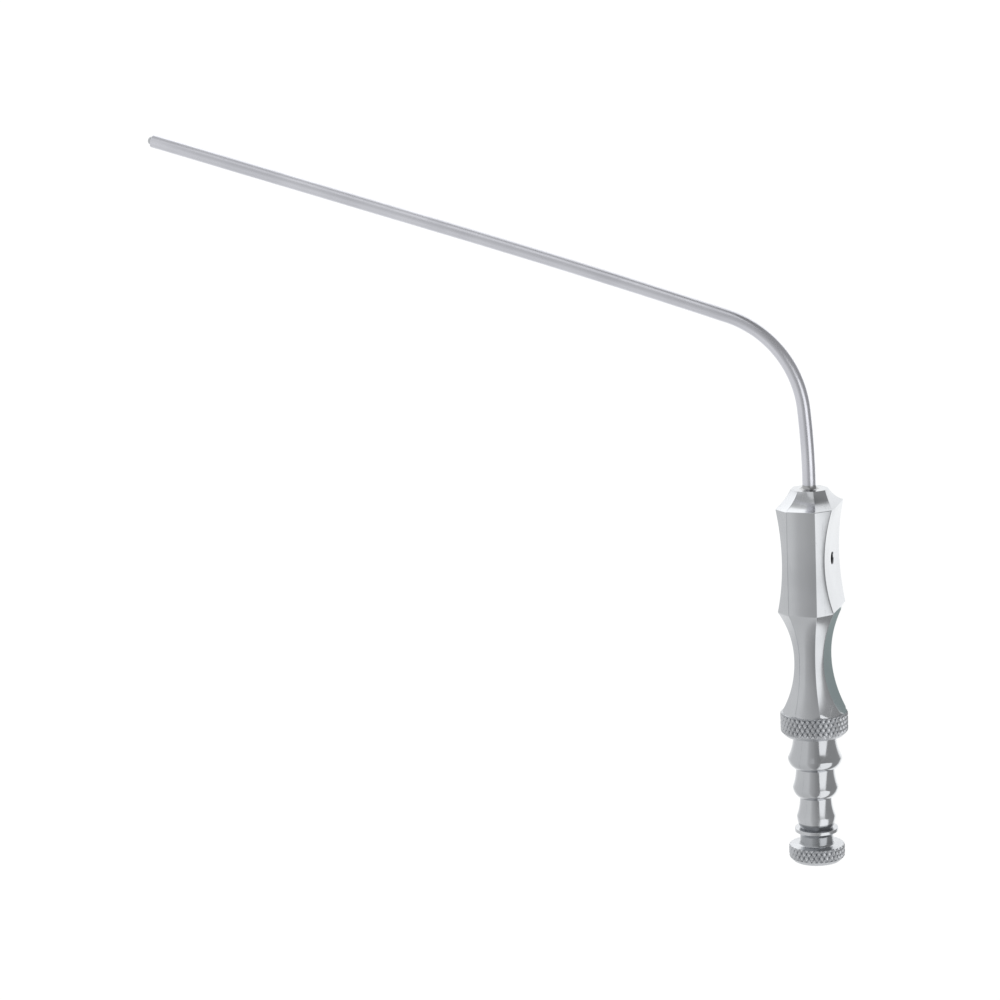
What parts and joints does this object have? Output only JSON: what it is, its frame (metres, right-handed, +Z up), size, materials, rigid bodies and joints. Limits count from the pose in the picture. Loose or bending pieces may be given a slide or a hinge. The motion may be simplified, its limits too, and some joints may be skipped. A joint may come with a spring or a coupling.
{
  "type": "surgical suction tube",
  "caption": "Angled metal suction tube with an octagonal finger cut-off handle, knurled ring, stepped hose barbs and a stylet with a round knob.",
  "frame": {"origin": "under the middle of the part's box, at the height of the surface on which it lies", "axes": "+Z up; the handle lies along Y with the tube's root towards +Y and the stylet knob towards -Y; the finger hole faces +X and the tube's tip points towards -X"},
  "size_m": [0.1252, 0.13, 0.0165],
  "materials": {
    "tube_steel": "fine satin along the tube",
    "handle_steel": "bright polished stainless steel",
    "braze": "dull silver braze",
    "knob_steel": "bright polished stainless steel",
    "wire_steel": "drawn steel wire"
  },
  "bodies": {
    "root": {"cannula": "tube_steel", "handle": "handle_steel", "braze_fillet": "braze", "stylet_knob": "knob_steel", "stylet_wire": "wire_steel"}
  },
  "joints": []
}
